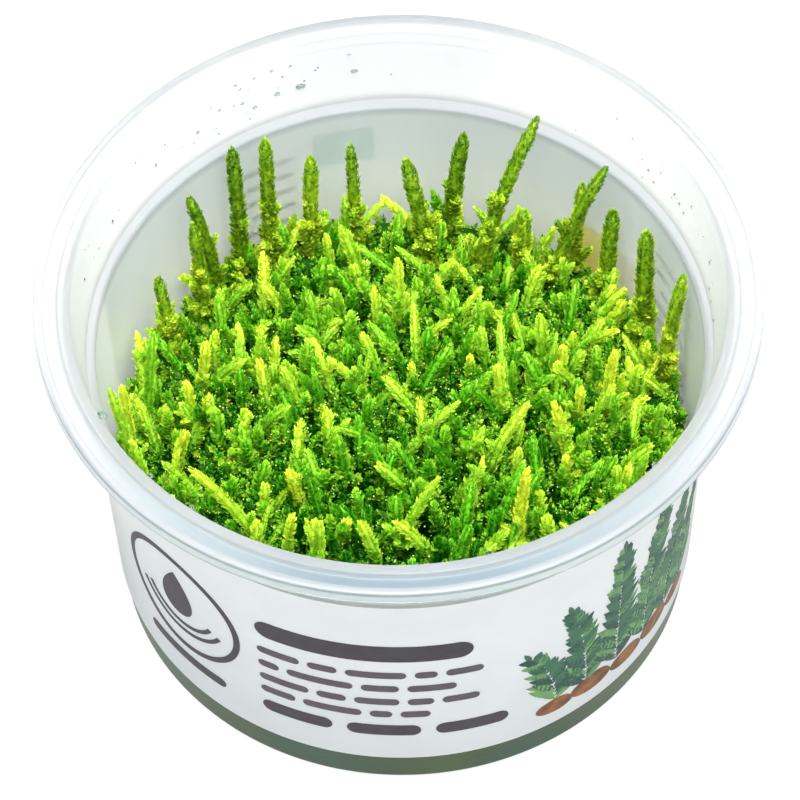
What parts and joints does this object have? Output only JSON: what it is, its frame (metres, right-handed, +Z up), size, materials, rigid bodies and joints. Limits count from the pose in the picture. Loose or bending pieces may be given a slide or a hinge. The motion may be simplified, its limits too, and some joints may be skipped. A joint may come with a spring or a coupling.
{
  "type": "tissue culture moss in a cup",
  "caption": "Weeping moss grown on clear gel in a round, open, frosted plastic tissue culture cup with a flat flange and a printed wrap label.",
  "frame": {"origin": "centre of the cup's flat underside", "axes": "+Z up out of the mouth, -Y towards the front of the label, +X to the right of it"},
  "size_m": [0.095, 0.095, 0.057],
  "materials": {
    "frosted_plastic": "frosted, half clear",
    "printed_label": "satin printed label",
    "nutrient_gel": "soft, glossy, half clear gel",
    "dense_moss": "moist, finely leafy",
    "shoot_moss": "moist, finely leafy"
  },
  "bodies": {
    "root": {"cup": "frosted_plastic", "label": "printed_label", "gel": "nutrient_gel", "moss_mat": "dense_moss", "shoot_01": "shoot_moss", "shoot_02": "shoot_moss", "shoot_03": "shoot_moss", "shoot_04": "shoot_moss", "shoot_05": "shoot_moss", "shoot_06": "shoot_moss", "shoot_07": "shoot_moss", "shoot_08": "shoot_moss", "shoot_09": "shoot_moss", "shoot_10": "shoot_moss", "shoot_11": "shoot_moss", "shoot_12": "shoot_moss", "shoot_13": "shoot_moss", "shoot_14": "shoot_moss", "shoot_15": "shoot_moss", "shoot_16": "shoot_moss", "shoot_17": "shoot_moss", "shoot_18": "shoot_moss", "shoot_19": "shoot_moss", "shoot_20": "shoot_moss", "shoot_21": "shoot_moss", "shoot_22": "shoot_moss", "shoot_23": "shoot_moss", "shoot_24": "shoot_moss", "shoot_25": "shoot_moss", "shoot_26": "shoot_moss", "shoot_27": "shoot_moss", "shoot_28": "shoot_moss", "shoot_29": "shoot_moss", "shoot_30": "shoot_moss", "shoot_31": "shoot_moss", "shoot_32": "shoot_moss", "shoot_33": "shoot_moss", "shoot_34": "shoot_moss", "shoot_35": "shoot_moss", "shoot_36": "shoot_moss", "shoot_37": "shoot_moss", "shoot_38": "shoot_moss", "shoot_39": "shoot_moss", "shoot_40": "shoot_moss", "shoot_41": "shoot_moss", "shoot_42": "shoot_moss", "shoot_43": "shoot_moss", "shoot_44": "shoot_moss", "shoot_45": "shoot_moss", "shoot_46": "shoot_moss", "shoot_47": "shoot_moss", "shoot_48": "shoot_moss", "shoot_49": "shoot_moss", "shoot_50": "shoot_moss"}
  },
  "joints": []
}
